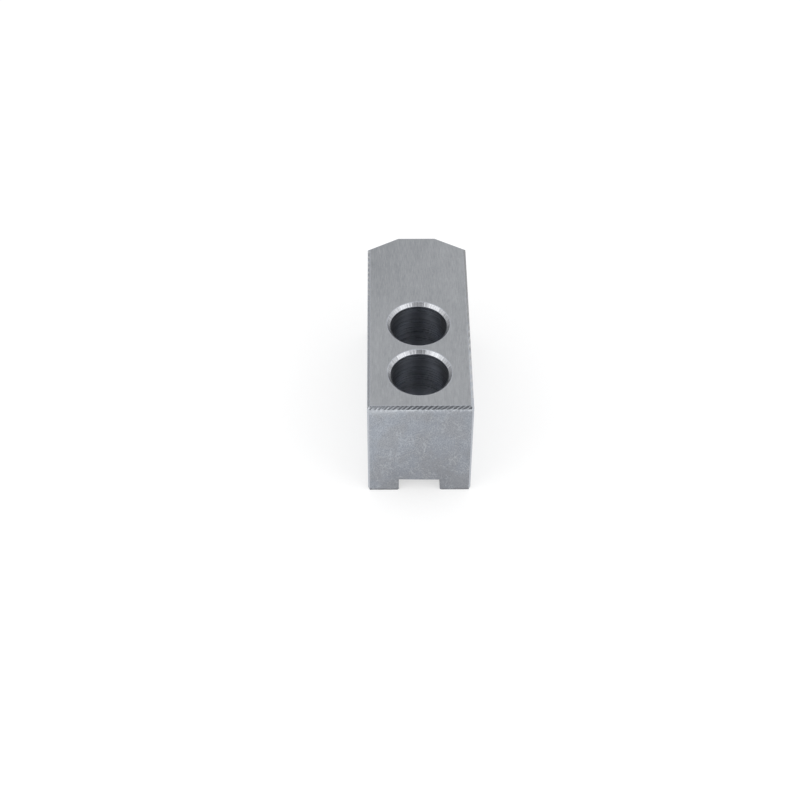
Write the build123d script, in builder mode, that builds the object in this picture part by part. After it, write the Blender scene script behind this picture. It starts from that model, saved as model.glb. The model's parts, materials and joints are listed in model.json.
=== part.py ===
from build123d import *
import math
import os

# Machinable soft jaw: a single steel block, in millimetres.
# +Y runs towards the nose that holds the work, +Z runs up from the serrated base,
# and the origin is the middle of the base, on the crests of the serrations.

# Block
jaw_length = 72.5
jaw_width = 30.0
jaw_height = 35.0

# Nose: a narrow flat between two bevels, each leaning back from the end plane
nose_flat_width = 11.5
nose_bevel_angle = 30.0

# Broken edges
top_edge_break = 0.7
rear_corner_break = 0.5
base_edge_break = 0.8
slot_mouth_break = 0.4
counterbore_mouth_break = 1.0

# Two socket head screws in a line; the clearances are per side
screw_spacing = 20.0
rear_screw_setback = 14.0
screw_diameter = 10.0
screw_clearance = 0.5
screw_head_diameter = 16.0
screw_head_clearance = 0.25
web_under_head = 15.0

# Key slot along the middle of the base
key_slot_width = 12.0
key_slot_depth = 4.5

# Serrations across the base
tooth_pitch = 1.5
tooth_angle = 60.0
tooth_crest_flat = 0.2
tooth_root_flat = 0.15

# Margin by which a cutting tool starts outside the block
overrun = 0.05

# Places worked out from the sizes above
rear_y = -jaw_length / 2
nose_y = jaw_length / 2
half_width = jaw_width / 2
half_nose_flat = nose_flat_width / 2
nose_setback = (half_width - half_nose_flat) * math.tan(math.radians(nose_bevel_angle))
rear_screw_y = rear_y + rear_screw_setback
front_screw_y = rear_screw_y + screw_spacing
flank_slope = math.tan(math.radians(tooth_angle / 2))
tooth_depth = (tooth_pitch - tooth_crest_flat - tooth_root_flat) / 2 / flank_slope
tooth_count = int(jaw_length // tooth_pitch)

with BuildPart() as soft_jaw:
    # The block and its pointed nose, from the outline seen from above
    with BuildSketch(Plane.XY):
        with BuildLine():
            Polyline(
                (-half_width, rear_y),
                (half_width, rear_y),
                (half_width, nose_y - nose_setback),
                (half_nose_flat, nose_y),
                (-half_nose_flat, nose_y),
                (-half_width, nose_y - nose_setback),
                close=True,
            )
        make_face()
    extrude(amount=jaw_height)

    # Broken edges of the block
    rear_corners = soft_jaw.edges().filter_by(Axis.Z).group_by(Axis.Y)[0]
    chamfer(rear_corners, length=rear_corner_break)
    base_sides = soft_jaw.faces().sort_by(Axis.Z)[0].edges().filter_by(Axis.Y)
    chamfer(base_sides, length=base_edge_break)
    top_outline = soft_jaw.faces().sort_by(Axis.Z)[-1].edges()
    chamfer(top_outline, length=top_edge_break)

    # Key slot, run right through from the rear face to the nose
    half_slot = key_slot_width / 2
    half_mouth = half_slot + slot_mouth_break
    with BuildSketch(Plane.XZ):
        with BuildLine():
            Polyline(
                (-half_mouth - overrun, -overrun),
                (-half_slot, slot_mouth_break),
                (-half_slot, key_slot_depth),
                (half_slot, key_slot_depth),
                (half_slot, slot_mouth_break),
                (half_mouth + overrun, -overrun),
                close=True,
            )
        make_face()
    extrude(amount=jaw_length, both=True, mode=Mode.SUBTRACT)

    # Serrations: one groove profile, repeated along the base and cut across it
    half_root = tooth_root_flat / 2
    half_opening = half_root + (tooth_depth + overrun) * flank_slope
    with BuildSketch(Plane.YZ):
        with GridLocations(tooth_pitch, 0, tooth_count, 1):
            Polygon(
                (-half_opening, -overrun),
                (half_opening, -overrun),
                (half_root, tooth_depth),
                (-half_root, tooth_depth),
                align=None,
            )
    extrude(amount=jaw_width, both=True, mode=Mode.SUBTRACT)

    # Screw holes, counterbored deep from the top, with broken mouths
    with Locations((0, rear_screw_y, jaw_height), (0, front_screw_y, jaw_height)):
        CounterBoreHole(
            radius=screw_diameter / 2 + screw_clearance,
            counter_bore_radius=screw_head_diameter / 2 + screw_head_clearance,
            counter_bore_depth=jaw_height - web_under_head,
        )
    top_face = soft_jaw.faces().sort_by(Axis.Z)[-1]
    chamfer(top_face.edges().filter_by(GeomType.CIRCLE), length=counterbore_mouth_break)

soft_jaw.part.label = "soft_jaw"

os.makedirs("parts", exist_ok=True)
export_step(soft_jaw.part, "parts/soft_jaw.step")
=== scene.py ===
# %% [markdown]
# # A machinable soft jaw
#
# Such a block is screwed to a slide of a lathe chuck, and its nose is then bored to the shape
# of the work. It is bought blank: a piece of mild steel, ground on top, milled all round, with
# two deep counterbored screw holes, a key slot and a serrated base.
#
# The real thing is made by taking metal away, so this lesson makes it the same way. It starts
# with a block and lets one cutter after another bite into it, and each cutter leaves its own
# finish on what it cut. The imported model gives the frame: where the block is, and where its
# holes are.

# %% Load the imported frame
import json
import math
import random

import bmesh
import bpy
from mathutils import Matrix, Vector


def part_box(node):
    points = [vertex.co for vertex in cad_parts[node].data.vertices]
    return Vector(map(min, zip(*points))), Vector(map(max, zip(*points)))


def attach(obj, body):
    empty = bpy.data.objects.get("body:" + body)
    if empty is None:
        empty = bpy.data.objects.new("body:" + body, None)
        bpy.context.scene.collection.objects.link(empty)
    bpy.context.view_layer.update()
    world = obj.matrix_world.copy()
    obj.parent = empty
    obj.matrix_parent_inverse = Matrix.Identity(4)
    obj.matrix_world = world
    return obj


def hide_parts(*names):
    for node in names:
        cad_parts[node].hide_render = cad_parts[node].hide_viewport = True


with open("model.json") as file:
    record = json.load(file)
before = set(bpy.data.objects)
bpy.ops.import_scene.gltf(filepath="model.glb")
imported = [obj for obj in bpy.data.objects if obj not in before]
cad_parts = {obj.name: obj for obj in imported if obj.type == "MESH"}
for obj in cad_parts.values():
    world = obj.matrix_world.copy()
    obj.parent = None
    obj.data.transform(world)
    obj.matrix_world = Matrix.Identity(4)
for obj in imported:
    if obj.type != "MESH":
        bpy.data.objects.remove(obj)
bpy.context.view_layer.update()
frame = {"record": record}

# %% [markdown]
# ## Sizes
#
# Blender works in metres and a workshop in millimetres, so every size below is written as so
# many millimetres. The outside and the screw holes are read from the frame, because the piece
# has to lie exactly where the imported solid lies. Only what the frame does not state, such as
# the width of a chamfer, is a value of its own. NEAR is how close counts as the same place, and
# OVERRUN how far a cutter runs past the block. A face looks along an axis if its normal has
# more than STRAIGHT of it, and is turned towards it if more than SLANTED.

# %% Sizes of the jaw
MM = 0.001

low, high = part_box("soft_jaw")
size = high - low
middle = (low + high) / 2
half_width = size.x / 2
rear_y, nose_y = low.y, high.y
top_z = high.z

mounts = {mount["name"]: mount for mount in frame["record"]["mounts"]}
seat_radius = mounts["rear_head_seat"]["dims"]["r_mm"] * MM
hole_radius = mounts["rear_screw_hole"]["dims"]["r_mm"] * MM
screw_ys = [mounts[name]["pos_m"][1] for name in ("rear_head_seat", "front_head_seat")]
slot_roof_z = mounts["screw_pattern"]["pos_m"][2]
web = 15.0 * MM

nose_flat = 11.5 * MM
nose_angle = math.radians(30)
slot_width = 12.0 * MM
top_break = 0.7 * MM
corner_break = 0.5 * MM
base_break = 0.8 * MM
slot_break = 0.4 * MM
mouth_break = 1.0 * MM

tooth_pitch = 1.5 * MM
tooth_crest = 0.2 * MM
tooth_root = 0.15 * MM
tooth_slope = math.tan(math.radians(30))
tooth_depth = (tooth_pitch - tooth_crest - tooth_root) / 2 / tooth_slope
tooth_count = int(size.y // tooth_pitch)

NEAR = 0.01 * MM
OVERRUN = 2.0 * MM
STRAIGHT = 0.9
SLANTED = 0.3
print("block", [round(side / MM, 2) for side in size], "mm,", tooth_count, "teeth")

# %% [markdown]
# ## The camera
#
# The jaw is seen from behind its rear end and from well above, with a long lens, so that its
# sides hardly draw together. A point to look at, two angles and a distance are easier to follow
# than coordinates and Euler angles. The last small angle rolls the picture, as a hand-held
# camera does.

# %% Camera
aim = Vector((-5.28, 0.19, 0.0)) * MM
camera_distance = 516.1 * MM
camera_elevation = math.radians(46.31)
camera_heading = math.radians(0.827)
camera_roll = math.radians(0.313)
FOCAL_LENGTH = 75.16
SENSOR_WIDTH = 36.0

looking = Vector((
    math.sin(camera_heading) * math.cos(camera_elevation),
    math.cos(camera_heading) * math.cos(camera_elevation),
    -math.sin(camera_elevation),
))
bpy.ops.object.select_all(action="DESELECT")
bpy.ops.object.camera_add(location=aim - looking * camera_distance)
camera = bpy.context.object
camera.rotation_mode = "QUATERNION"
turn = looking.to_track_quat("-Z", "Y").to_matrix() @ Matrix.Rotation(camera_roll, 3, "Z")
camera.rotation_quaternion = turn.to_quaternion()
camera.data.sensor_width = SENSOR_WIDTH
camera.data.lens = FOCAL_LENGTH
bpy.context.scene.camera = camera
print("camera at", [round(value / MM) for value in camera.location], "mm")

# %% [markdown]
# ## Node helpers
#
# A shader is a net of small nodes. Writing each node as one call, with its inputs given either
# as a value or as the output of an earlier node, keeps the net readable from top to bottom.

# %% Node helpers
def feed(node, inputs):
    """Give each input of a node a value, or link it to the socket of an earlier node."""
    for name, value in inputs.items():
        if isinstance(value, bpy.types.NodeSocket):
            node.id_data.links.new(value, node.inputs[name])
        else:
            node.inputs[name].default_value = value


def add_node(net, kind, inputs=None, **settings):
    """Add a node to a net, with its settings and inputs."""
    node = net.nodes.new(kind)
    for name, value in settings.items():
        setattr(node, name, value)
    feed(node, inputs or {})
    return node


# %% [markdown]
# These nodes work with numbers: they calculate, stretch a range, or read a noise at a place.

# %% Number helpers
def maths(net, operation, first, second=0.0, third=0.0, clamp=False):
    """One Math node; returns its output socket."""
    inputs = {0: first, 1: second, 2: third}
    node = add_node(net, "ShaderNodeMath", inputs, operation=operation, use_clamp=clamp)
    return node.outputs[0]


def add_up(net, *shares):
    """Add up values, each times its own share."""
    total = 0.0
    for value, share in shares:
        total = maths(net, "MULTIPLY_ADD", value, share, total)
    return total


def remap(net, value, from_low, from_high, to_low=0.0, to_high=1.0):
    """Stretch part of a value's range onto another range, and clamp it there."""
    inputs = {
        "Value": value,
        "From Min": from_low,
        "From Max": from_high,
        "To Min": to_low,
        "To Max": to_high,
    }
    return add_node(net, "ShaderNodeMapRange", inputs).outputs["Result"]


def noise(net, vector, scale, detail=3.0, roughness=0.55):
    """A noise texture; returns its grey value, about 0.5 on average."""
    inputs = {"Vector": vector, "Scale": scale, "Detail": detail, "Roughness": roughness}
    return add_node(net, "ShaderNodeTexNoise", inputs).outputs["Fac"]


# %% [markdown]
# Two helpers mix colours. The first goes from a dark to a light one as a factor grows. The
# second lays a tint over a colour where a mask says so, as rubbing or a scratch does. A Mix
# node has sockets of one name for each kind of value, so those for colours go by number.

# %% Colour helpers
MIX_A, MIX_B, MIX_RESULT = 6, 7, 2


def mixed(net, factor, dark, light):
    """Mix by a socket. A colour is a socket too, or its red, green and blue."""
    dark, light = [(*one, 1.0) if isinstance(one, tuple) else one for one in (dark, light)]
    inputs = {0: factor, MIX_A: dark, MIX_B: light}
    return add_node(net, "ShaderNodeMix", inputs, data_type="RGBA").outputs[MIX_RESULT]


def tinted(net, colour, mask, share, tint):
    """Lay a tint over a colour by a share of a mask."""
    return mixed(net, maths(net, "MULTIPLY", mask, share), colour, tint)


# %% [markdown]
# Coordinates are vectors, and vectors have nodes of their own: to take them apart and put them
# together, to calculate with them, and to stretch and turn them.

# %% Vector helpers
def axes(net, vector):
    """The X, Y and Z of a vector, as three outputs."""
    return add_node(net, "ShaderNodeSeparateXYZ", {0: vector}).outputs


def vector_of(net, **parts):
    """A vector put together from X, Y and Z. One that is left out is 0."""
    return add_node(net, "ShaderNodeCombineXYZ", parts).outputs[0]


def vector_maths(net, operation, first, second=(0.0, 0.0, 0.0)):
    """One Vector Math node; returns its outputs, Vector and Value."""
    inputs = {0: first, 1: second}
    return add_node(net, "ShaderNodeVectorMath", inputs, operation=operation).outputs


def mapped(net, vector, scale=(1.0, 1.0, 1.0), degrees=(0.0, 0.0, 0.0)):
    """The same coordinates stretched, then turned about X, Y and Z."""
    rotation = [math.radians(angle) for angle in degrees]
    inputs = {"Vector": vector, "Rotation": rotation, "Scale": scale}
    return add_node(net, "ShaderNodeMapping", inputs).outputs[0]


# %% [markdown]
# ## Node groups
#
# Several finishes share the same effects, such as scratches. Each effect is a node group: it is
# built once, and every material places it with its own values. Lengths are in millimetres.

# %% Group helpers
def start_group(name, inputs):
    """Start a node group; returns its net and its inputs. One whose value is None is a vector."""
    net = bpy.data.node_groups.new(name, "ShaderNodeTree")
    for label, value in inputs.items():
        kind = "NodeSocketVector" if value is None else "NodeSocketFloat"
        socket = net.interface.new_socket(label, in_out="INPUT", socket_type=kind)
        if value is not None:
            socket.default_value = value
    return net, net.nodes.new("NodeGroupInput").outputs


def finish_group(net, **values):
    """Put out each value under its name; returns the group."""
    for name in values:
        net.interface.new_socket(name, in_out="OUTPUT", socket_type="NodeSocketFloat")
    feed(net.nodes.new("NodeGroupOutput"), values)
    print("group", net.name, "has", len(net.nodes), "nodes")
    return net


def use_group(net, group, vector, **inputs):
    """Place a node group in a material with its own values; returns its outputs."""
    inputs["Vector"] = vector
    return add_node(net, "ShaderNodeGroup", inputs, node_tree=group).outputs


# %% [markdown]
# ## Marks of a cutter
#
# A grinding wheel or a milling cutter leaves fine parallel marks, the lay of the surface. Each
# mark is long and narrow, so the group squeezes the coordinates across the lay and stretches
# them along it before it reads a noise. It puts out fine marks and broad bands of them. The
# lay runs along Y, and a material that needs another direction turns its coordinates first.

# %% Group: cutter lay
net, given = start_group("cutter_lay", {"Vector": None, "Spacing": 0.2, "Run": 8.0})
across = maths(net, "DIVIDE", 1.0, given["Spacing"])
along = maths(net, "DIVIDE", 1.0, given["Run"])
squeeze = vector_of(net, X=across, Y=along, Z=across)
squeezed = vector_maths(net, "MULTIPLY", given["Vector"], squeeze)["Vector"]
marks = noise(net, squeezed, 1.0, 4.0, 0.62)
bands = noise(net, squeezed, 0.17, 2.0, 0.5)
lay_group = finish_group(net, Marks=marks, Bands=bands)

# %% [markdown]
# ## Mottle and speck glints
#
# Bare steel that has been washed, handled and lightly oiled is never one grey. Soft clouds change
# its tone over some millimetres, a finer mottle over half a millimetre, and tiny bright specks are
# painted glints of grains that catch the light. Blocks tumbled together also leave short curls,
# which are the lines where a noise passes through its middle value, kept in some places only.
# The group is given the sizes of a cloud and of a grain.

# %% Group: steel mottle
net, given = start_group("steel_mottle", {"Vector": None, "Cloud": 9.0, "Grain": 0.7})
place = given["Vector"]
cloud_scale = maths(net, "DIVIDE", 1.0, given["Cloud"])
grain_scale = maths(net, "DIVIDE", 1.0, given["Grain"])
cloud = noise(net, place, cloud_scale, 4.0, 0.6)
grain = noise(net, place, grain_scale, 5.0, 0.65)

# Painted glints: tiny bright specks where grains catch the light.
speck_scale = maths(net, "MULTIPLY", grain_scale, 0.55)
cells = add_node(net, "ShaderNodeTexVoronoi", {"Vector": place, "Scale": speck_scale})
speck_core = remap(net, cells.outputs["Distance"], 0.12, 0.34, 1.0, 0.0)
speck_pick = remap(net, noise(net, place, speck_scale, 1.0), 0.52, 0.60)
speck_glints = maths(net, "MULTIPLY", speck_core, speck_pick)

curl_scale = maths(net, "MULTIPLY", grain_scale, 0.3)
from_line = maths(net, "SUBTRACT", noise(net, place, curl_scale, 1.0), 0.5)
curl_line = remap(net, maths(net, "ABSOLUTE", from_line), 0.01, 0.05, 1.0, 0.0)
curl_pick = remap(net, noise(net, place, 0.28, 2.0), 0.47, 0.60)
curls = maths(net, "MULTIPLY", curl_line, curl_pick)
mottle_group = finish_group(net, Cloud=cloud, Grain=grain, Specks=speck_glints, Curls=curls)

# %% [markdown]
# ## Stray scratches
#
# Blocks knock and slide against each other in their box. A scratch is a thin line, and a thin
# line is where a noise passes through one chosen value. Stretching the noise makes the lines
# long and nearly straight, and a second, coarse noise leaves only a few of them. The noise is
# turned about the face's own normal, so that the long way stays in the face.

# %% Group: stray scratches
SCRATCH_DEGREES = (24.0, -41.0, 78.0)
scratch_inputs = {"Vector": None, "Normal": None, "Length": 4.0, "Width": 0.4, "Amount": 0.5}
net, given = start_group("stray_scratches", scratch_inputs)
long_scale = maths(net, "DIVIDE", 1.0, given["Length"])
narrow_scale = maths(net, "DIVIDE", 1.0, given["Width"])
stretch = vector_of(net, X=long_scale, Y=narrow_scale, Z=narrow_scale)
threshold = remap(net, given["Amount"], 0.0, 1.0, 0.75, 0.45)
scratches = 0.0
for degrees in SCRATCH_DEGREES:
    turn = {"Vector": given["Vector"], "Angle": math.radians(degrees), "Axis": given["Normal"]}
    turned = add_node(net, "ShaderNodeVectorRotate", turn).outputs[0]
    pulled = vector_maths(net, "MULTIPLY", turned, stretch)["Vector"]
    from_line = maths(net, "SUBTRACT", noise(net, pulled, 0.35, 1.0), 0.5)
    thin = remap(net, maths(net, "ABSOLUTE", from_line), 0.004, 0.012, 1.0, 0.0)
    patches = noise(net, pulled, 0.11, 1.0)
    chosen = maths(net, "GREATER_THAN", patches, threshold)
    scratches = maths(net, "MULTIPLY_ADD", thin, chosen, scratches, clamp=True)
scratch_group = finish_group(net, Lines=scratches)

# %% [markdown]
# ## Rubbed edges
#
# Steel is brightest where it has been rubbed, and that is along its edges. On a face of a
# block one of the three distances to the block's sides is nil, and the middle one of the three
# is the distance to the nearest edge. The group finds that middle distance and turns it into a
# mask, which a noise breaks up.

# %% Group: rubbed edges
net, given = start_group("rubbed_edges", {"Vector": None, "Reach": 1.2})
parts = axes(net, given["Vector"])
to_side = maths(net, "SUBTRACT", half_width / MM, maths(net, "ABSOLUTE", parts["X"]))
to_end = maths(net, "SUBTRACT", size.y / 2 / MM, maths(net, "ABSOLUTE", parts["Y"]))
to_top = maths(net, "SUBTRACT", top_z / MM, parts["Z"])
lesser = maths(net, "MINIMUM", to_side, to_end)
greater = maths(net, "MAXIMUM", to_side, to_end)
nearest_edge = maths(net, "MAXIMUM", lesser, maths(net, "MINIMUM", greater, to_top))
ragged = remap(net, noise(net, given["Vector"], 1.3, 4.0, 0.7), 0.3, 0.7, 0.25, 1.0)
reach = maths(net, "MULTIPLY", given["Reach"], ragged)
rub_share = maths(net, "DIVIDE", nearest_edge, reach)
rub_group = finish_group(net, Rub=remap(net, rub_share, 0.35, 1.6, 1.0, 0.0))

# %% [markdown]
# ## Turned rings
#
# Drills and counterbores turn as they cut, so their marks are rings. Both screw holes need
# rings round their own axis. Folding the coordinates about the point half way between the
# holes lays one hole on the other, so one net serves both. The rings follow the radius on a
# floor and the height on a wall.

# %% Group: turned rings
between_screws = sum(screw_ys) / 2 / MM
half_spacing = abs(screw_ys[1] - screw_ys[0]) / 2 / MM
net, given = start_group("turned_rings", {"Vector": None, "Spacing": 0.3})
parts = axes(net, given["Vector"])
from_between = maths(net, "SUBTRACT", parts["Y"], between_screws)
folded = maths(net, "ABSOLUTE", from_between)
from_axis = maths(net, "SUBTRACT", folded, half_spacing)
flat_vector = vector_of(net, X=parts["X"], Y=from_axis)
radius = vector_maths(net, "LENGTH", flat_vector)["Value"]
ring_scale = maths(net, "DIVIDE", 1.0, given["Spacing"])
ring_vector = vector_of(
    net,
    X=maths(net, "MULTIPLY", radius, ring_scale),
    Y=maths(net, "MULTIPLY", parts["Z"], ring_scale),
    Z=maths(net, "MULTIPLY", parts["X"], 0.02),
)
rings = noise(net, ring_vector, 1.0, 2.0)
bands = noise(net, ring_vector, 0.16, 2.0)

# %% [markdown]
# A countersink that chatters leaves spokes as well. They are a noise read along a circle, so
# that they have no seam where the turn closes, and a step in Z gives each hole spokes of its
# own.

# %% Group: turned rings, the spokes
HOLES_APART = 30.0
way_out = vector_maths(net, "NORMALIZE", flat_vector)["Vector"]
mouth_scale = maths(net, "MULTIPLY", ring_scale, seat_radius / MM)
circle = vector_maths(net, "MULTIPLY", way_out, mouth_scale)["Vector"]
which_hole = maths(net, "SIGN", from_between)
apart = vector_of(net, Z=maths(net, "MULTIPLY", which_hole, HOLES_APART))
spoke_vector = vector_maths(net, "ADD", circle, apart)["Vector"]
spokes = noise(net, spoke_vector, 1.0, 2.0, 0.6)
ring_group = finish_group(net, Rings=rings, Bands=bands, Spokes=spokes)

# %% [markdown]
# ## Steel as a material
#
# Every finish here is the same metal, so they share one start: coordinates in millimetres, and
# Metallic at 1 on the shader's own socket, because it is the same all over. What differs is the
# pattern that feeds the colour, roughness and bump.

# %% Start and finish a steel
def start_material(name, values):
    """A material with those values on its shader; returns it, its net and its shader."""
    material = bpy.data.materials.new(name)
    material.use_nodes = True
    shader = material.node_tree.nodes["Principled BSDF"]
    feed(shader, values)
    return material, material.node_tree, shader


def start_steel(name):
    """Start a steel; returns the material, its net and coordinates in millimetres."""
    material, net, shader = start_material(name, {"Metallic": 1.0})
    place = add_node(net, "ShaderNodeTexCoord").outputs["Object"]
    return material, net, mapped(net, place, scale=(1 / MM, 1 / MM, 1 / MM))


def finish_steel(material, colour, roughness, height, depth):
    """Connect colour, roughness and a bump whose full height is depth millimetres."""
    net = material.node_tree
    bump_inputs = {"Height": height, "Distance": depth * MM, "Strength": 1.0}
    bump = add_node(net, "ShaderNodeBump", bump_inputs).outputs[0]
    values = {"Base Color": colour, "Roughness": roughness, "Normal": bump}
    feed(net.nodes["Principled BSDF"], values)
    print("steel", material.name, "has", len(net.nodes), "nodes")


# %% [markdown]
# ## The ground top
#
# The top is ground with the wheel running along the jaw. Close up it is a sheaf of hair lines
# along Y; from a step away only a soft streakiness is left. So the marks change the bump and
# the roughness most, and the colour least. It is a little darker on the left of the nose, and a
# painted sheen makes it a little brighter towards the rear.

# %% Material: ground top
ground_steel, net, place = start_steel("ground_steel")
lay = use_group(net, lay_group, place, Spacing=0.22, Run=3.2)
mottle = use_group(net, mottle_group, place, Cloud=6.0, Grain=0.5)
rub = use_group(net, rub_group, place, Reach=0.8)
scratch = use_group(net, scratch_group, place, Normal=(0, 0, 1), Length=5.0, Amount=0.25)
parts = axes(net, place)
# Painted sheen: the top is painted a little lighter towards the rear.
rear_sheen = remap(net, parts["Y"], nose_y / MM, rear_y / MM, 0.0, 0.045)
near_nose = remap(net, parts["Y"], 2.0, 20.0)
darker_left = remap(net, parts["X"], -12.0, 12.0, 0.06, -0.03)
tone = add_up(
    net,
    (lay["Bands"], 0.12),
    (lay["Marks"], 0.60),
    (mottle["Cloud"], 0.12),
    (mottle["Grain"], 0.16),
    (rear_sheen, 1.0),
)
tone = maths(net, "SUBTRACT", tone, maths(net, "MULTIPLY", near_nose, darker_left))
tone = remap(net, tone, 0.36, 0.64)
colour = mixed(net, tone, (0.264, 0.276, 0.293), (0.401, 0.412, 0.430))
colour = tinted(net, colour, rub["Rub"], 0.35, (0.56, 0.58, 0.60))
colour = tinted(net, colour, scratch["Lines"], 0.15, (0.60, 0.60, 0.62))
roughness = remap(net, lay["Marks"], 0.3, 0.7, 0.36, 0.50)
height = add_up(net, (lay["Marks"], 1.0), (scratch["Lines"], -0.6))
finish_steel(ground_steel, colour, roughness, height, 0.012)

# %% [markdown]
# ## The rear end
#
# The end was sawn and then milled, and it has lain on other things since. It is mottled at
# a third of a millimetre, a little longer upright, and leans to blue where oil has dried. The
# same mottle drawn in two pairs of tones, and mixed by the clouds, gives both.

# %% Material: mottled end
end_steel, net, place = start_steel("end_steel")
upright = mapped(net, place, scale=(1.0, 1.0, 0.60))
mottle = use_group(net, mottle_group, upright, Cloud=5.0, Grain=0.30)
tone = remap(net, add_up(net, (mottle["Cloud"], 0.1), (mottle["Grain"], 0.9)), 0.31, 0.69)
grey = mixed(net, tone, (0.234, 0.247, 0.271), (0.478, 0.499, 0.534))
blue = mixed(net, tone, (0.228, 0.250, 0.284), (0.468, 0.499, 0.552))
colour = mixed(net, remap(net, mottle["Cloud"], 0.42, 0.58), grey, blue)

# %% [markdown]
# Its foot is darker with painted shade, which stands in for the shaded floor that it mirrors,
# most of all beside the slot and along the very bottom edge. Its right side is also a little
# darker than its left. These are masks that follow the height and X. They add up to one, which
# lays a dark grey over the steel.

# %% Mottled end: painted shade and a darker right side
parts = axes(net, place)
# Painted shade: darker towards the foot, as the shaded floor under it would show.
foot_shade = maths(net, "POWER", remap(net, parts["Z"], 20.0, 0.0), 0.6)
darker_right = remap(net, parts["X"], low.x / MM, 2.0, 0.0, 0.24)
darker_right = maths(net, "MULTIPLY", darker_right, remap(net, parts["Z"], 0.0, 18.0, 0.35, 1.0))
# Painted shade beside the slot, low down.
off_slot = maths(net, "SUBTRACT", maths(net, "ABSOLUTE", parts["X"]), 6.5)
slot_shade = remap(net, maths(net, "ABSOLUTE", off_slot), 4.5, 0.5)
slot_shade = maths(net, "MULTIPLY", slot_shade, remap(net, parts["Z"], 12.0, 4.0))
# dull adds up the painted shade and the darker right side.
dull = add_up(net, (darker_right, 1.0), (foot_shade, 0.3), (slot_shade, 0.17))
# Painted shade: a dark line along the very bottom edge.
dull = maths(net, "MAXIMUM", dull, remap(net, parts["Z"], 0.45, 1.0, 0.8, 0.0))
colour = mixed(net, dull, colour, (0.19, 0.19, 0.20))

# %% [markdown]
# Rubbing has left a pale strip under its top edge, a little wider at the left, and there tiny
# burrs carry painted glints. Both follow the distance below the top.

# %% Mottled end: pale strip and painted burr glints
below_top = maths(net, "SUBTRACT", top_z / MM, parts["Z"])
below_lean = maths(net, "MULTIPLY_ADD", parts["X"], 0.06, below_top)
pale_strip = maths(net, "POWER", remap(net, below_lean, 3.4, 0.8), 2.0)
colour = tinted(net, colour, pale_strip, 0.62, (0.52, 0.55, 0.585))
# Painted glints of tiny burrs just under the top edge.
burr_glints = remap(net, noise(net, upright, 1.3, 2.0), 0.50, 0.58)
burr_glint_zone = remap(net, below_top, 2.2, 1.0, 0.0, 0.6)
colour = tinted(net, colour, burr_glints, burr_glint_zone, (0.68, 0.71, 0.75))

# %% [markdown]
# Bright specks, painted glints, and curls are strewn over all of it. Near one upper corner
# something has dragged across and left a patch of short slanting strokes, which are the lay of a
# cutter turned in the face, and kept within a circle.

# %% Mottled end: speck glints and strokes
# Painted glints: the bright specks.
colour = tinted(net, colour, mottle["Specks"], 0.34, (0.62, 0.65, 0.68))
colour = tinted(net, colour, mottle["Curls"], 0.33, (0.58, 0.61, 0.65))
PATCH_MIDDLE = (-10.5, 0.0, 2.0)
slanting = mapped(net, place, degrees=(0.0, 50.0, 0.0))
strokes = use_group(net, lay_group, slanting, Spacing=0.35, Run=9.0)
stroke = remap(net, strokes["Marks"], 0.52, 0.60)
in_face = vector_of(net, X=parts["X"], Z=below_top)
from_patch = vector_maths(net, "DISTANCE", in_face, PATCH_MIDDLE)["Value"]
patch = remap(net, from_patch, 1.2, 3.4, 0.5, 0.0)
colour = tinted(net, colour, stroke, patch, (0.60, 0.62, 0.64))

# %% [markdown]
# Last come rubbed edges and scratches, as on every face, and the roughness and bump, which
# follow the grain of the mottle.

# %% Mottled end: edges, scratches and bump
rub = use_group(net, rub_group, place, Reach=0.5)
colour = tinted(net, colour, rub["Rub"], 0.4, (0.60, 0.62, 0.65))
scratch = use_group(net, scratch_group, place, Normal=(0, 1, 0), Length=1.5, Amount=0.7)
colour = tinted(net, colour, scratch["Lines"], 0.35, (0.62, 0.64, 0.66))
roughness = remap(net, mottle["Grain"], 0.3, 0.7, 0.34, 0.56)
height = add_up(net, (mottle["Grain"], 1.0), (scratch["Lines"], -0.5))
finish_steel(end_steel, colour, roughness, height, 0.03)

# %% [markdown]
# ## The milled flanks and nose
#
# The long sides and the nose were milled and are smoother than the end. The lay runs along the
# sides, and a broad cloud of old oil darkens them here and there.

# %% Material: milled flank
flank_steel, net, place = start_steel("flank_steel")
lay = use_group(net, lay_group, place, Spacing=0.3, Run=5.0)
mottle = use_group(net, mottle_group, place, Cloud=11.0, Grain=0.5)
rub = use_group(net, rub_group, place, Reach=0.9)
sideways = mapped(net, place, degrees=(0.0, 0.0, 90.0))
scratch = use_group(net, scratch_group, sideways, Normal=(0, 1, 0), Amount=0.5)
tone = add_up(net, (mottle["Grain"], 0.3), (mottle["Cloud"], 0.5), (lay["Marks"], 0.2))
tone = remap(net, tone, 0.36, 0.64)
colour = mixed(net, tone, (0.290, 0.312, 0.338), (0.430, 0.452, 0.478))
colour = tinted(net, colour, rub["Rub"], 0.4, (0.58, 0.60, 0.63))
colour = tinted(net, colour, scratch["Lines"], 0.35, (0.62, 0.64, 0.66))
roughness = remap(net, mottle["Grain"], 0.3, 0.7, 0.36, 0.50)
height = add_up(net, (mottle["Grain"], 0.5), (lay["Marks"], 0.6), (scratch["Lines"], -0.5))
finish_steel(flank_steel, colour, roughness, height, 0.016)

# %% [markdown]
# ## Fresh-cut chamfers
#
# The chamfers were cut last and touched by nothing since, so they are the smoothest metal on
# the jaw. They are near mirrors: bright where they face the light, and dark where they face
# the dark side of the room. The bites of a cutter that chattered get a lighter copy of the
# finish, a painted sheen.

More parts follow.
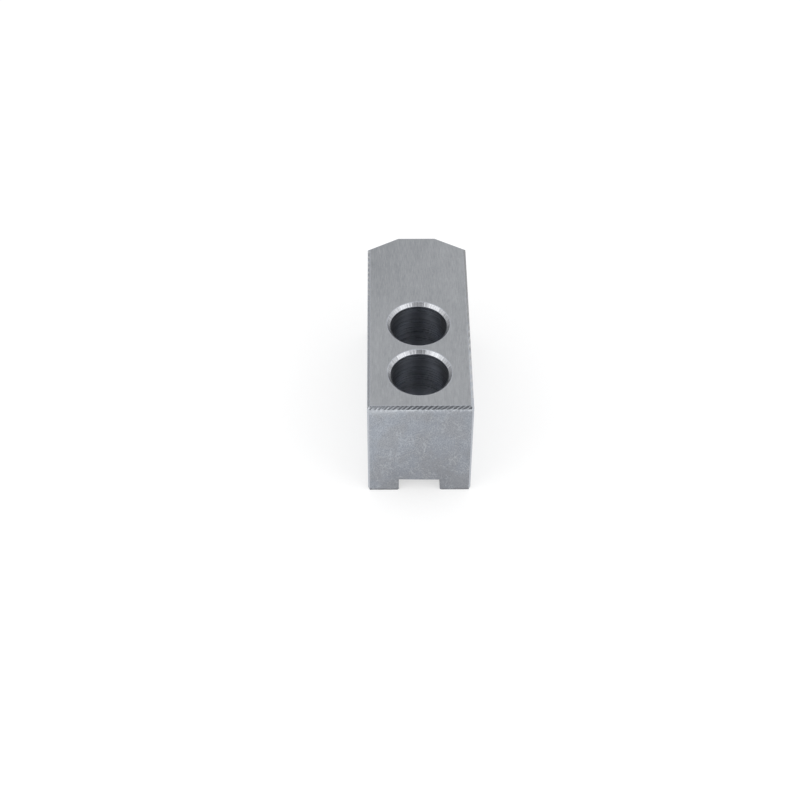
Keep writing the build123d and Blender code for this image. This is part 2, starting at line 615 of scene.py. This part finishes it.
# %% Material: chamfers
def chamfer_finish(name, dark, light):
    """A fresh, nearly mirror-bright cut between two tones."""
    material, net, place = start_steel(name)
    lay = use_group(net, lay_group, place, Spacing=0.12, Run=0.5)
    colour = mixed(net, remap(net, lay["Marks"], 0.3, 0.7), dark, light)
    roughness = remap(net, lay["Bands"], 0.3, 0.7, 0.16, 0.24)
    finish_steel(material, colour, roughness, lay["Marks"], 0.006)
    return material


chamfer_steel = chamfer_finish("chamfer_steel", (0.38, 0.40, 0.437), (0.53, 0.555, 0.60))
# A lighter copy for the bites: painted sheen.
bite_glint_steel = chamfer_finish("bite_glint_steel", (0.42, 0.43, 0.445), (0.56, 0.57, 0.585))

# %% [markdown]
# The bites along the rear chamfer go from a dark tone at the middle, a painted dark reflection,
# to a lighter metal at the ends, by a mask that grows with the distance from the middle. The
# left half is rougher as well.

# %% Material: rear bites
rear_bite_steel, net, place = start_steel("rear_bite_steel")
lay = use_group(net, lay_group, place, Spacing=0.12, Run=0.5)
marks = remap(net, lay["Marks"], 0.3, 0.7)
# Painted dark reflection: the darker tone at the middle.
mirror = mixed(net, marks, (0.245, 0.26, 0.286), (0.349, 0.367, 0.40))
plain_end_tone = mixed(net, marks, (0.37, 0.39, 0.42), (0.53, 0.555, 0.595))
across_jaw = axes(net, place)["X"]
toward_ends = remap(net, maths(net, "ABSOLUTE", across_jaw), 0.0, 12.0)
colour = mixed(net, toward_ends, mirror, plain_end_tone)
roughness = remap(net, across_jaw, 0.0, low.x / MM, 0.18, 0.23)
finish_steel(rear_bite_steel, colour, roughness, lay["Marks"], 0.006)

# %% [markdown]
# The mouths of the counterbores were broken with a countersink that chattered a little, so
# their chamfers carry fine spokes.

# %% Material: countersunk mouth
mouth_steel, net, place = start_steel("mouth_steel")
rings = use_group(net, ring_group, place, Spacing=0.45)
spokes = remap(net, rings["Spokes"], 0.36, 0.64)
colour = mixed(net, spokes, (0.37, 0.38, 0.40), (0.58, 0.59, 0.615))
roughness = remap(net, rings["Bands"], 0.3, 0.7, 0.26, 0.36)
finish_steel(mouth_steel, colour, roughness, rings["Spokes"], 0.11)

# %% [markdown]
# ## The turned bores
#
# Down in the counterbores the steel is dark: the light has to bounce from wall to wall, and
# the cutting oil has stayed. Down the middle of the wall a painted dark reflection darkens it,
# a mask that follows X and is frayed by the mottle. Deep down painted reflected light makes
# the metal lighter, a mask that follows the height. Faint rings show where the tool turned.

# %% Material: turned bore
bore_steel, net, place = start_steel("bore_steel")
rings = use_group(net, ring_group, place, Spacing=0.28)
mottle = use_group(net, mottle_group, place, Cloud=4.0, Grain=0.6)
tone = add_up(net, (rings["Bands"], 0.2), (rings["Rings"], 0.45), (mottle["Cloud"], 0.35))
tone = remap(net, tone, 0.34, 0.66)
colour = mixed(net, tone, (0.254, 0.268, 0.298), (0.400, 0.418, 0.458))
parts = axes(net, place)
# Painted reflected light: lighter deep down.
deep_light = remap(net, parts["Z"], top_z / MM - 3.0, top_z / MM - 14.0, 0.0, 0.36)
colour = mixed(net, deep_light, colour, (0.85, 0.87, 0.92))
# Painted dark reflection down the middle of the wall.
off_middle = maths(net, "MULTIPLY_ADD", mottle["Grain"], 2.0, maths(net, "ABSOLUTE", parts["X"]))
dark_reflection_band = remap(net, off_middle, 1.8, 4.0, 0.40, 0.0)
colour = mixed(net, dark_reflection_band, colour, (0.18, 0.195, 0.235))
roughness = remap(net, rings["Rings"], 0.3, 0.7, 0.26, 0.32)
finish_steel(bore_steel, colour, roughness, rings["Rings"], 0.05)

# %% [markdown]
# Such fine rings draw each reflection out across themselves, as the grooves of a record do,
# which gives the wall its upright bands. So the shader is told to be anisotropic in that
# direction: up a wall, and outward from the nearer axis on a floor.

# %% Turned bore: drawn-out reflections
ANISOTROPY = 0.9
from_between = maths(net, "SUBTRACT", parts["Y"], between_screws)
to_nearer_axis = maths(net, "MULTIPLY", maths(net, "SIGN", from_between), half_spacing)
from_axis = maths(net, "SUBTRACT", from_between, to_nearer_axis)
flat_vector = vector_of(net, X=parts["X"], Y=from_axis)
way_out = vector_maths(net, "NORMALIZE", flat_vector)["Vector"]
across_rings = vector_maths(net, "ADD", way_out, (0, 0, 1))["Vector"]
feed(net.nodes["Principled BSDF"], {"Tangent": across_rings, "Anisotropic": ANISOTROPY})
print("the bores are anisotropic by", ANISOTROPY)

# %% [markdown]
# ## Slot and serrations
#
# The key slot was milled along the jaw and the serrations across it. Both are clean cut metal,
# so they share a recipe and differ in the direction of their lay.

# %% Material: milled slot and serrations
def cut_steel(name, lay_degrees):
    """Clean milled metal, with its lay turned that far from Y."""
    material, net, place = start_steel(name)
    place = mapped(net, place, degrees=(0.0, 0.0, lay_degrees))
    lay = use_group(net, lay_group, place, Spacing=0.14, Run=6.0)
    mottle = use_group(net, mottle_group, place, Cloud=6.0, Grain=0.6)
    tone = remap(net, add_up(net, (mottle["Cloud"], 0.4), (lay["Marks"], 0.6)), 0.36, 0.64)
    colour = mixed(net, tone, (0.36, 0.37, 0.39), (0.54, 0.55, 0.57))
    roughness = remap(net, lay["Marks"], 0.3, 0.7, 0.30, 0.44)
    finish_steel(material, colour, roughness, lay["Marks"], 0.010)
    return material


slot_steel = cut_steel("slot_steel", 0.0)
tooth_steel = cut_steel("tooth_steel", 90.0)

# %% [markdown]
# ## Working by hand, in code
#
# Blender's tools act on whatever is selected. These helpers stand for the hand on the mouse:
# select nothing, take up one piece, enter edit mode and leave it, and settle a new piece.

# %% Modelling helpers
def deselect_all():
    """Leave edit mode and select nothing."""
    if bpy.context.object and bpy.context.object.mode == "EDIT":
        bpy.ops.object.mode_set(mode="OBJECT")
    bpy.ops.object.select_all(action="DESELECT")


def take_up(piece):
    """Make a piece the only selected one."""
    deselect_all()
    piece.select_set(True)
    bpy.context.view_layer.objects.active = piece


def edit(piece):
    """Take up a piece and enter edit mode."""
    take_up(piece)
    bpy.ops.object.mode_set(mode="EDIT")


def leave_edit():
    """Back to object mode."""
    bpy.ops.object.mode_set(mode="OBJECT")


def settle(piece, name, materials):
    """Name a new piece, give it its materials and move its place into its mesh."""
    piece.name = name
    piece.data.name = name
    for material in materials:
        piece.data.materials.append(material)
    bpy.ops.object.transform_apply(location=True, rotation=True, scale=True)
    return piece


# %% [markdown]
# ## The block and its nose
#
# The blank is a cube primitive scaled to the block's own size and place. Its nose is a flat
# between two bevels. The Bevel tool would make both sides of a bevel alike, but here they
# differ, so each one is a bisect: a plane is laid through the block, the outer part is thrown
# away and the cut is filled.

# %% Block
GROUND, FLANK, END, CHAMFER = range(4)

deselect_all()
bpy.ops.mesh.primitive_cube_add(size=1.0, location=middle, scale=size)
finishes = [ground_steel, flank_steel, end_steel, chamfer_steel]
jaw = settle(bpy.context.object, "machined_jaw", finishes)

edit(jaw)
for side in (-1, 1):
    bpy.ops.mesh.select_all(action="SELECT")
    bpy.ops.mesh.bisect(
        plane_co=(side * nose_flat / 2, nose_y, 0.0),
        plane_no=(side * math.sin(nose_angle), math.cos(nose_angle), 0.0),
        use_fill=True,
        clear_outer=True,
    )
leave_edit()
print("block with its nose:", len(jaw.data.polygons), "faces")

# %% [markdown]
# The faces take their finish while there are still few of them: the top is ground, the rear
# end is mottled and the rest is milled. A helper picks them by the way that they face.

# %% Give the block's faces their finish
def pick(piece, kind, wanted):
    """In edit mode, select the faces or edges of a piece for which wanted says yes."""
    bpy.ops.mesh.select_mode(type=kind)
    bpy.ops.mesh.select_all(action="DESELECT")
    mesh = bmesh.from_edit_mesh(piece.data)
    mesh.normal_update()
    chosen = [item for item in (mesh.faces if kind == "FACE" else mesh.edges) if wanted(item)]
    for item in chosen:
        item.select_set(True)
    mesh.select_flush_mode()
    bmesh.update_edit_mesh(piece.data)
    return len(chosen)


finish_tests = {
    FLANK: lambda face: True,
    GROUND: lambda face: face.normal.z > STRAIGHT,
    END: lambda face: face.normal.y < -STRAIGHT,
}
edit(jaw)
for index, test in finish_tests.items():
    picked = pick(jaw, "FACE", test)
    jaw.active_material_index = index
    bpy.ops.object.material_slot_assign()
    print(finishes[index].name, "on", picked, "faces")
leave_edit()

# %% [markdown]
# ## Broken edges
#
# The rear corners, the long edges of the base and the whole outline of the top are chamfered.
# The Bevel tool is right for these, because both legs of each chamfer are equal. The order is
# a workshop's: corners first, and the top outline last, so that it runs over the corners.

# %% Chamfers
def lies_at(edge, axis, value):
    """True if both ends of an edge are at that value of that axis."""
    return all(abs(vertex.co[axis] - value) < NEAR for vertex in edge.verts)


def at_sides(edge, distance):
    """True if both ends of an edge are that far out to the left or to the right."""
    return lies_at(edge, 0, -distance) or lies_at(edge, 0, distance)


def chamfer_edges(piece, width, wanted):
    """Select edges and bevel them flat, with the chamfer's own material."""
    found = pick(piece, "EDGE", wanted)
    bpy.ops.mesh.bevel(offset=width, offset_type="OFFSET", segments=1, material=CHAMFER)
    print("chamfered", found, "edges by", round(width / MM, 2), "mm")


edit(jaw)
chamfer_edges(jaw, corner_break, lambda e: lies_at(e, 1, rear_y) and at_sides(e, half_width))
chamfer_edges(jaw, base_break, lambda e: lies_at(e, 2, low.z) and at_sides(e, half_width))
chamfer_edges(jaw, top_break, lambda e: lies_at(e, 2, top_z))
leave_edit()

# %% [markdown]
# The small facet where three chamfers meet at a rear corner is as dull as the top, and its
# short upper edge is drawn together to a point.

# %% Corner facets
SHORT_EDGE = 0.2 * MM
edit(jaw)
facets = pick(jaw, "FACE", lambda f: min(-f.normal.y, abs(f.normal.x), f.normal.z) > SLANTED)
jaw.active_material_index = GROUND
bpy.ops.object.material_slot_assign()
pick(jaw, "EDGE", lambda e: lies_at(e, 2, top_z) and e.calc_length() < SHORT_EDGE)
bpy.ops.mesh.merge(type="COLLAPSE")
leave_edit()
print("dull corner facets:", facets)

# %% [markdown]
# ## The key slot
#
# A slot cutter runs through the base from end to end. It is a cube that is longer than the
# jaw and reaches below it, so that no face of the cutter lies on a face of the block. A Boolean
# modifier hands the cutter's material to the faces that it makes, just as a real cutter leaves
# its finish. The two edges of the slot's mouth are then broken.

# %% Key slot
def bite(piece, cutter, crossing=False):
    """Take a cutter's shape out of a piece, leaving the cutter's material, and discard it."""
    take_up(piece)
    modifier = piece.modifiers.new("bite", "BOOLEAN")
    modifier.operation = "DIFFERENCE"
    modifier.solver = "EXACT"
    modifier.use_self = crossing
    modifier.material_mode = "TRANSFER"
    modifier.object = cutter
    bpy.ops.object.modifier_apply(modifier=modifier.name)
    bpy.data.objects.remove(cutter)


slot_height = slot_roof_z - low.z + OVERRUN
deselect_all()
bpy.ops.mesh.primitive_cube_add(
    size=1.0,
    location=(0.0, middle.y, slot_roof_z - slot_height / 2),
    scale=(slot_width, size.y + 2 * OVERRUN, slot_height),
)
bite(jaw, settle(bpy.context.object, "slot_cutter", [slot_steel]))

edit(jaw)
chamfer_edges(jaw, slot_break, lambda e: lies_at(e, 2, low.z) and at_sides(e, slot_width / 2))
leave_edit()
print("block with its slot:", len(jaw.data.polygons), "faces")

# %% [markdown]
# ## Counterbored screw holes
#
# One stepped cutter makes the hole, the seat for the screw's head and the broken mouth. It is
# grown from a filled circle: extrude up, extrude again and widen, and so on, the way a turned
# tool is drawn. The ring that cuts the mouth gets a finish of its own.

# %% Screw holes
BORE_SIDES = 128
MOUTH = 1


def screw_hole_cutter(centre_y):
    """A stepped cutter on the axis of one screw hole."""
    deselect_all()
    start_z = slot_roof_z - OVERRUN
    bpy.ops.mesh.primitive_circle_add(
        vertices=BORE_SIDES,
        radius=hole_radius,
        fill_type="NGON",
        location=(0.0, centre_y, start_z),
    )
    cutter = settle(bpy.context.object, "hole_cutter", [bore_steel, mouth_steel])
    mouth_radius = seat_radius + mouth_break
    steps = (
        (low.z + web, hole_radius),
        (low.z + web, seat_radius),
        (top_z - mouth_break, seat_radius),
        (top_z, mouth_radius),
        (top_z + OVERRUN, mouth_radius + OVERRUN),
    )
    edit(cutter)
    bpy.ops.mesh.select_all(action="SELECT")
    height, radius = start_z, hole_radius
    for next_height, next_radius in steps:
        rise = (0.0, 0.0, next_height - height)
        bpy.ops.mesh.extrude_region_move(TRANSFORM_OT_translate={"value": rise})
        widen = next_radius / radius
        bpy.ops.transform.resize(
            value=(widen, widen, 1.0),
            center_override=(0.0, centre_y, next_height),
        )
        height, radius = next_height, next_radius
    bpy.ops.mesh.select_all(action="SELECT")
    bpy.ops.mesh.normals_make_consistent(inside=False)
    pick(cutter, "FACE", lambda face: min(v.co.z for v in face.verts) > top_z - mouth_break - NEAR)
    cutter.active_material_index = MOUTH
    bpy.ops.object.material_slot_assign()
    leave_edit()
    return cutter


for centre_y in screw_ys:
    bite(jaw, screw_hole_cutter(centre_y))
print("block with its holes:", len(jaw.data.polygons), "faces")

# %% [markdown]
# ## A last touch on every edge
#
# No real edge is a perfect line. A file or a brush takes a hair off each one, and that hair is
# what catches the light. All sharp edges get a tiny rounding, apart from those down where the
# serrations will be cut.

# %% Touch every edge
HAIR = 0.11 * MM
SHARP = math.radians(25)
above_teeth = low.z + tooth_depth + 4 * HAIR
edit(jaw)
bpy.ops.mesh.select_mode(type="EDGE")
bpy.ops.mesh.select_all(action="DESELECT")
bpy.ops.mesh.edges_select_sharp(sharpness=SHARP)
mesh = bmesh.from_edit_mesh(jaw.data)
for edge in mesh.edges:
    if edge.select and min(vertex.co.z for vertex in edge.verts) < above_teeth:
        edge.select_set(False)
bmesh.update_edit_mesh(jaw.data)
bpy.ops.mesh.bevel(offset=HAIR, offset_type="OFFSET", segments=2, material=CHAMFER)
leave_edit()
print("edges touched:", len(jaw.data.polygons), "faces")

# %% [markdown]
# ## Serrations
#
# The base has grooves of 60 degrees across it, which mesh with the slide of the chuck and hold
# the jaw against any push. One groove is a bar with its top pinched in to the narrow root. It
# is repeated by an Array modifier, and the whole comb is cut out at once.

# %% Serrations
deselect_all()
comb_below = 0.4 * MM
opening = tooth_root + 2 * (tooth_depth + comb_below) * tooth_slope
first_y = middle.y - tooth_pitch * (tooth_count - 1) / 2
bpy.ops.mesh.primitive_cube_add(
    size=1.0,
    location=(0.0, first_y, low.z + (tooth_depth - comb_below) / 2),
    scale=(size.x + 2 * OVERRUN, opening, tooth_depth + comb_below),
)
comb = settle(bpy.context.object, "serration_cutter", [tooth_steel])
edit(comb)
pick(comb, "FACE", lambda face: face.normal.z > STRAIGHT)
bpy.ops.transform.resize(
    value=(1.0, tooth_root / opening, 1.0),
    center_override=(0.0, first_y, low.z + tooth_depth),
)
leave_edit()
array = comb.modifiers.new("teeth", "ARRAY")
array.count = tooth_count
array.use_relative_offset = False
array.use_constant_offset = True
array.constant_offset_displace = (0.0, tooth_pitch, 0.0)
bpy.ops.object.modifier_apply(modifier=array.name)
bite(jaw, comb, crossing=True)
print("serrated:", len(jaw.data.polygons), "faces")

# %% [markdown]
# ## Tool marks on the long chamfers
#
# The chamfers along the rear and the sides were cut with a hand-fed cutter that chattered, and
# it left a row of shallow slanting scallops, like a rope along the rear edge. Each scallop is
# the bite of a roller that lies across the chamfer at a slant: a cylinder, flattened so that it
# cuts as wide as a larger one.

# %% One roller
ROLLER_THICKNESS = 0.4 * MM
ROLLER_LENGTH = 5.0 * MM
ROLLER_SIDES = 72


def add_roller(centre, facing, axis, roundness):
    """Add a flattened cylinder; roundness is the radius of its near side."""
    half_wide = math.sqrt(roundness * ROLLER_THICKNESS)
    turn = Matrix((facing.cross(axis), facing, axis)).transposed()
    deselect_all()
    bpy.ops.mesh.primitive_cylinder_add(
        vertices=ROLLER_SIDES,
        radius=1.0,
        depth=1.0,
        location=centre,
        rotation=turn.to_euler(),
        scale=(half_wide, ROLLER_THICKNESS, ROLLER_LENGTH),
    )
    return bpy.context.object


# %% [markdown]
# A row of rollers is sunk a few hundredths of a millimetre into the chamfer, and all are cut
# out at once. Spacing, depth and slant are a little uneven, from a seeded random source, so
# that every run gives the same jaw.

# %% A row of marks
chatter = random.Random(7)


def part_way(pair, share):
    """The value that share of the way from the first of a pair to the second."""
    return pair[0] + (pair[1] - pair[0]) * share


def chatter_marks(name, start, end, outward, pitches, depths, slants, roundness, finish):
    """Bite a row of slanting scallops along a chamfer from start to end.

    outward is the way that the marks face, a slant is the angle between a mark and the way
    straight across, and roundness is a scallop's radius. Each of them, like pitches and depths,
    is a pair, for the start and for the end.
    """
    along = (end - start).normalized()
    length = (end - start).length
    rollers = []
    gone = 0.0
    while gone < length:
        share = gone / length
        pitch = part_way(pitches, share)
        sunk = part_way(depths, share) * chatter.uniform(0.82, 1.08)
        place = start + along * (gone + pitch * chatter.uniform(-0.12, 0.12))
        lean = part_way(slants, share) + math.radians(chatter.uniform(-5, 5))
        facing = outward[0].lerp(outward[1], share).normalized()
        axis = facing.cross(along) * math.cos(lean) + along * math.sin(lean)
        centre = place + facing * (ROLLER_THICKNESS - sunk)
        roller = add_roller(centre, facing, axis, part_way(roundness, share))
        rollers.append(settle(roller, name, [finish]))
        gone += pitch
    for roller in rollers:
        roller.select_set(True)
    bpy.ops.object.join()
    bite(jaw, bpy.context.object, crossing=True)
    print(name, len(rollers), "marks,", len(jaw.data.polygons), "faces")


# %% [markdown]
# The marks along the rear are the plain ones. There the cutter was held a little steeper than
# the chamfer, at the left most of all, and its marks lie flatter and shallower to the right.
# Those along the sides are shallow and wide, and deepen towards the nose.

# %% Marks along the rear and the sides
half_break = top_break / 2
rear_edge = Vector((0.0, rear_y + half_break, top_z - half_break))
chatter_marks(
    "rear_marks",
    rear_edge + Vector((low.x, 0.0, 0.0)),
    rear_edge + Vector((high.x, 0.0, 0.0)),
    outward=(Vector((0.0, -1.0, 0.915)), Vector((0.0, -1.0, 0.935))),
    pitches=(1.30 * MM, 1.50 * MM),
    depths=(0.11 * MM, 0.075 * MM),
    slants=(math.radians(47), math.radians(57)),
    roundness=(0.9 * MM, 1.8 * MM),
    finish=rear_bite_steel,
)
nose_setback = (half_width - nose_flat / 2) * math.tan(nose_angle)
for side, rear_depth, nose_depth in ((-1, 0.010 * MM, 0.012 * MM), (1, 0.020 * MM, 0.055 * MM)):
    edge_x = side * (half_width - half_break)
    chatter_marks(
        "side_marks",
        Vector((edge_x, rear_y + corner_break, top_z - half_break)),
        Vector((edge_x, nose_y - nose_setback, top_z - half_break)),
        outward=[Vector((side, 0.0, 1.0))] * 2,
        pitches=(3.6 * MM, 2.1 * MM),
        depths=(rear_depth, nose_depth),
        slants=[math.radians(-side * 50)] * 2,
        roundness=[10.0 * MM] * 2,
        finish=bite_glint_steel,
    )

# %% [markdown]
# ## Smooth and check
#
# Faces that meet at only a few degrees belong to one curved surface and are shaded smooth, so
# the bores look round. Points that the cuts left in one place are welded. The mesh is then
# measured: it has to be closed, because it stands for one solid block.

# %% Smooth and check
CURVED = math.radians(12)
WELD = 0.0005 * MM
take_up(jaw)
bpy.ops.object.shade_smooth_by_angle(angle=CURVED)
edit(jaw)
bpy.ops.mesh.select_all(action="SELECT")
bpy.ops.mesh.remove_doubles(threshold=WELD)
mesh = bmesh.from_edit_mesh(jaw.data)
open_edges = sum(1 for edge in mesh.edges if not edge.is_manifold)
volume = mesh.calc_volume(signed=True)
leave_edit()
print("open edges:", open_edges, "volume in cubic centimetres:", round(volume / (10 * MM) ** 3, 2))
print("corners:", len(jaw.data.vertices), "faces:", len(jaw.data.polygons))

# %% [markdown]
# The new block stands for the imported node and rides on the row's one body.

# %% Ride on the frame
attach(jaw, "root")
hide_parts("soft_jaw")
print(jaw.name, "stands for soft_jaw")

# %% [markdown]
# ## The floor
#
# The jaw lies on a plain pale floor, a sheet of paper without an edge in sight. The paper glows
# a little for the camera and for reflections, so that it reads as white, while the jaw still
# shades it. Under the jaw it doesn't glow in reflections: the screw holes look down on it, and
# they have to stay dark.

# %% Floor
FLOOR_SIZE = 6.0
FLOOR_GAP = 0.01 * MM
PAPER_GLOW = 0.56
deselect_all()
bpy.ops.mesh.primitive_plane_add(size=FLOOR_SIZE, location=(0.0, 0.0, low.z - FLOOR_GAP))
paper_values = {
    "Base Color": (0.49, 0.49, 0.49, 1.0),
    "Roughness": 0.9,
    "Specular IOR Level": 0.1,
    "Emission Color": (1.0, 1.0, 1.0, 1.0),
}
paper, net, shader = start_material("floor_paper", paper_values)
floor = settle(bpy.context.object, "floor", [paper])
parts = axes(net, add_node(net, "ShaderNodeTexCoord").outputs["Object"])
beside = maths(net, "GREATER_THAN", maths(net, "ABSOLUTE", parts["X"]), half_width)
before = maths(net, "GREATER_THAN", maths(net, "ABSOLUTE", parts["Y"]), nose_y)
open_floor = maths(net, "MAXIMUM", beside, before)
rays = add_node(net, "ShaderNodeLightPath").outputs
mirrored = maths(net, "MAXIMUM", rays["Is Glossy Ray"], rays["Is Transmission Ray"])
mirrored = maths(net, "MULTIPLY", mirrored, open_floor)
seen = maths(net, "MAXIMUM", rays["Is Camera Ray"], mirrored)
feed(shader, {"Emission Strength": maths(net, "MULTIPLY", seen, PAPER_GLOW)})
print("floor:", FLOOR_SIZE, "m across")

# %% [markdown]
# ## The room
#
# Metal shows what is around it, so the room matters more than the lamps. It is white to the
# camera and in reflections, and a little dimmer as a light.

# %% Room
room = bpy.data.worlds.new("room")
bpy.context.scene.world = room
room.use_nodes = True
net = room.node_tree
rays = add_node(net, "ShaderNodeLightPath").outputs
seen = maths(net, "MAXIMUM", rays["Is Camera Ray"], rays["Is Glossy Ray"])
seen = maths(net, "MAXIMUM", seen, rays["Is Transmission Ray"])
strength = remap(net, seen, 0.0, 1.0, 0.9, 1.0)
feed(net.nodes["Background"], {"Color": (1.0, 1.0, 1.0, 1.0), "Strength": strength})
print("room:", len(net.nodes), "nodes")

# %% [markdown]
# ## Lamps and cards
#
# Two soft lamps stand high on the left and the right, and light the jaw evenly.

# %% Lamps
def face_jaw(thing):
    """Turn a lamp or card at its place so that it faces the jaw."""
    thing.rotation_mode = "QUATERNION"
    thing.rotation_quaternion = (middle - thing.location).to_track_quat("-Z", "Y")


LAMP_WIDTH = 0.55
LAMP_POWER = 1.1
for name, side in (("lamp_left", -1), ("lamp_right", 1)):
    deselect_all()
    bpy.ops.object.light_add(type="AREA", location=(side * 0.62, -0.40, 0.58))
    lamp = bpy.context.object
    lamp.name = name
    lamp.data.shape = "SQUARE"
    lamp.data.size = LAMP_WIDTH
    lamp.data.energy = LAMP_POWER
    face_jaw(lamp)
    print(name, "of", LAMP_POWER, "W")

# %% [markdown]
# Three cards stand in the room too, as in a photo studio, and only reflections see them. The
# dark one hangs behind the camera and gives the chamfers that face the camera their dark line.
# A grey one stands low on the left and tones down the long chamfer there. The small grey one
# stands close to the nose on the right, where the mouths see it across the top while most of
# the right chamfer does not.

# %% Cards
card_table = (
    ("dark_card", aim - looking * 0.8, (0.48, 0.56, 1.0), (0.43, 0.43, 0.44, 1.0)),
    ("grey_card", Vector((-0.32, 0.30, 0.12)), (0.34, 0.34, 1.0), (0.80, 0.80, 0.80, 1.0)),
    ("small_card", Vector((0.10, 0.128, 0.04)), (0.072, 0.10, 1.0), (0.75, 0.75, 0.75, 1.0)),
)
for name, place, scale, grey in card_table:
    deselect_all()
    bpy.ops.mesh.primitive_plane_add(size=1.0, location=place)
    card = bpy.context.object
    card.scale = scale
    face_jaw(card)
    card.visible_camera = False
    card.visible_diffuse = False
    card.visible_shadow = False
    cloth_values = {"Base Color": grey, "Roughness": 1.0, "Specular IOR Level": 0.0}
    settle(card, name, [start_material(name + "_cloth", cloth_values)[0]])
    print(name, "of", [round(side / MM) for side in scale[:2]], "mm")

# %% [markdown]
# ## Picture settings
#
# The Standard view shows colours as they are, with no film look.

# %% Finish
bpy.context.scene.view_settings.view_transform = "Standard"
